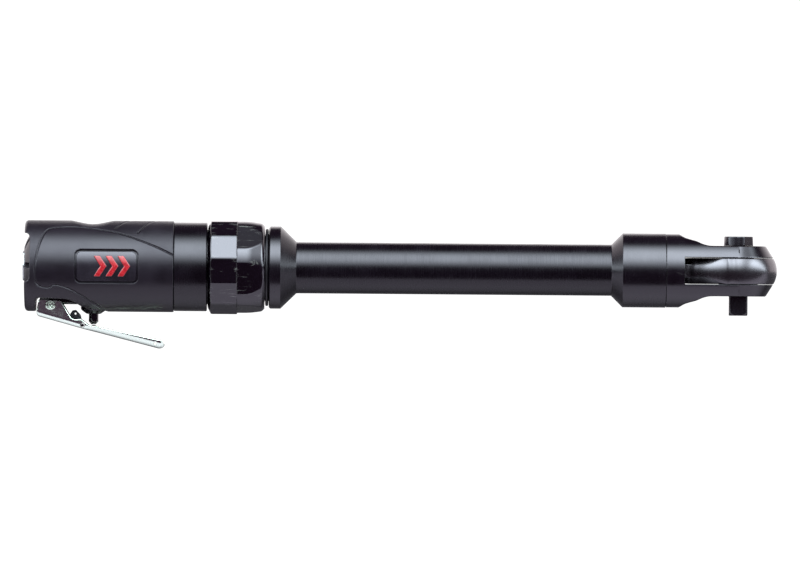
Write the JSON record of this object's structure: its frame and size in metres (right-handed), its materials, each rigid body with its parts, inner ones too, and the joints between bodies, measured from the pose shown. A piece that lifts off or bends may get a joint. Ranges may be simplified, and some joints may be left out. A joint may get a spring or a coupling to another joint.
{
  "type": "air ratchet",
  "caption": "Long-neck pneumatic ratchet wrench: textured handle with squeeze lever, clamp nut, extension tube and forked head with a square drive and a reversing knob.",
  "frame": {"origin": "middle of the square drive's end face", "axes": "+X along the tool towards the head, +Z along the drive axis towards the reversing knob"},
  "size_m": [0.383, 0.0478, 0.0657],
  "materials": {
    "black_steel": "satin black, fine turning marks",
    "polished_black": "glossy black",
    "grip": "matte, fine texture",
    "black_plastic": "matte",
    "bright_chrome": "bright",
    "tool_steel": "ground",
    "cast_alloy": "cast, satin",
    "bronze": "sintered, dull",
    "red_enamel": "gloss",
    "black_rubber": "matte",
    "grey_felt": "felt",
    "vane_fibre": "dull resin"
  },
  "bodies": {
    "housing": {"inlet_bushing": "tool_steel", "inlet_screen": "tool_steel", "exhaust_deflector": "black_plastic", "muffler_felt": "grey_felt", "motor_housing": "black_steel", "grip_sleeve": "grip", "badge_right": "red_enamel", "badge_left": "red_enamel", "lever_pin": "bright_chrome", "valve_seat": "bronze", "valve_spring": "tool_steel", "valve_plug": "tool_steel", "rear_end_plate": "cast_alloy", "rear_bearing_outer": "tool_steel", "motor_cylinder": "tool_steel", "cylinder_dowel": "tool_steel", "front_end_plate": "cast_alloy", "front_bearing_outer": "tool_steel", "ring_gear": "tool_steel", "carrier_bushing": "bronze", "clamp_nut": "polished_black", "nut_retaining_ring": "tool_steel", "nut_o_ring": "black_rubber", "extension_tube": "black_steel", "rear_shaft_bushing": "bronze", "front_shaft_bushing": "bronze", "crank_bushing": "bronze", "ratchet_head": "polished_black", "thrust_washer": "bronze", "anvil_retaining_ring": "tool_steel"},
    "lever": {"throttle_lever": "bright_chrome", "latch_pin": "tool_steel"},
    "latch": {"lever_latch": "black_plastic"},
    "button": {"throttle_button": "polished_black", "throttle_valve": "tool_steel"},
    "driveline": {"gear_carrier": "tool_steel", "extension_shaft": "tool_steel", "crankshaft": "tool_steel"},
    "rotor": {"rotor": "tool_steel", "rear_bearing_inner": "tool_steel", "front_bearing_inner": "tool_steel", "vane_1": "vane_fibre", "vane_2": "vane_fibre", "vane_3": "vane_fibre", "vane_4": "vane_fibre", "vane_5": "vane_fibre"},
    "rear_cage": {"rear_bearing_cage": "bronze"},
    "front_cage": {"front_bearing_cage": "bronze"},
    "planet_1": {"planet_gear_1": "tool_steel"},
    "planet_2": {"planet_gear_2": "tool_steel"},
    "planet_3": {"planet_gear_3": "tool_steel"},
    "roller": {"crank_roller": "tool_steel"},
    "yoke": {"yoke": "polished_black"},
    "anvil": {"anvil": "polished_black", "pawl_pin": "tool_steel"},
    "selector": {"selector_knob": "polished_black", "pawl_detent": "tool_steel", "detent_spring": "tool_steel"},
    "pawl": {"pawl": "tool_steel"},
    "drive_ball": {"socket_ball": "bright_chrome"}
  },
  "joints": [
    {"name": "lever_press", "type": "hinge", "parent": "housing", "child": "lever", "pos_m": [-0.3491, 0, 0.0028], "axis": [0, -1, 0], "range_deg": [0, 8], "stiffness_Nm_per_rad": 2, "springref_deg": -25.78},
    {"name": "button_slide", "type": "slide", "parent": "housing", "child": "button", "axis": [0, 0, 1], "range_m": [0, 0.0032], "stiffness_N_per_m": 300, "deforming": ["valve_spring"]},
    {"name": "latch_flip", "type": "hinge", "parent": "lever", "child": "latch", "pos_m": [-0.3328, 0, -0.0074], "axis": [0, -1, 0], "range_deg": [0, 30], "stiffness_Nm_per_rad": 0.015, "springref_deg": -34.38},
    {"name": "driveline_spin", "type": "hinge", "parent": "housing", "child": "driveline", "pos_m": [-0.2766, 0, 0.0226], "axis": [1, 0, 0], "continuous": true},
    {"name": "rotor_spin", "type": "hinge", "parent": "housing", "child": "rotor", "pos_m": [-0.3112, 0, 0.0226], "axis": [1, 0, 0], "continuous": true},
    {"name": "rear_cage_spin", "type": "hinge", "parent": "housing", "child": "rear_cage", "pos_m": [-0.3155, 0, 0.0226], "axis": [1, 0, 0], "continuous": true},
    {"name": "front_cage_spin", "type": "hinge", "parent": "housing", "child": "front_cage", "pos_m": [-0.2789, 0, 0.0226], "axis": [1, 0, 0], "continuous": true},
    {"name": "planet_1_spin", "type": "hinge", "parent": "driveline", "child": "planet_1", "pos_m": [-0.27, 0.00945, 0.0226], "axis": [1, 0, 0], "continuous": true},
    {"name": "planet_2_spin", "type": "hinge", "parent": "driveline", "child": "planet_2", "pos_m": [-0.27, -0.00473, 0.03078], "axis": [1, 0, 0], "continuous": true},
    {"name": "planet_3_spin", "type": "hinge", "parent": "driveline", "child": "planet_3", "pos_m": [-0.27, -0.00473, 0.01442], "axis": [1, 0, 0], "continuous": true},
    {"name": "roller_spin", "type": "hinge", "parent": "driveline", "child": "roller", "pos_m": [-0.0301, 0, 0.0244], "axis": [1, 0, 0], "continuous": true},
    {"name": "yoke_swing", "type": "hinge", "parent": "housing", "child": "yoke", "pos_m": [0, 0, 0.0226], "axis": [0, 0, 1], "range_deg": [-3.9, 3.9]},
    {"name": "anvil_spin", "type": "hinge", "parent": "housing", "child": "anvil", "pos_m": [0, 0, 0.0226], "axis": [0, 0, 1], "continuous": true},
    {"name": "selector_turn", "type": "hinge", "parent": "anvil", "child": "selector", "pos_m": [0, 0, 0.0376], "axis": [0, 0, -1], "range_deg": [0, 60]},
    {"name": "pawl_rock", "type": "hinge", "parent": "anvil", "child": "pawl", "pos_m": [0, 0.0074, 0.0226], "axis": [0, 0, 1], "range_deg": [0, 10]},
    {"name": "ball_press", "type": "slide", "parent": "anvil", "child": "drive_ball", "axis": [0, -1, 0], "range_m": [0, 0.0004], "stiffness_N_per_m": 500, "springref_m": -0.001}
  ],
  "couplings": [
    {"joint": "button_slide", "follows": "lever_press", "m_per_rad": 0.0224},
    {"joint": "rotor_spin", "follows": "driveline_spin", "ratio": 4.5},
    {"joint": "rear_cage_spin", "follows": "driveline_spin", "ratio": 1.79},
    {"joint": "front_cage_spin", "follows": "driveline_spin", "ratio": 1.94},
    {"joint": "planet_1_spin", "follows": "driveline_spin", "ratio": -2.8},
    {"joint": "planet_2_spin", "follows": "driveline_spin", "ratio": -2.8},
    {"joint": "planet_3_spin", "follows": "driveline_spin", "ratio": -2.8},
    {"joint": "roller_spin", "follows": "driveline_spin", "ratio": -1},
    {"joint": "pawl_rock", "follows": "selector_turn", "ratio": 0.16666}
  ]
}
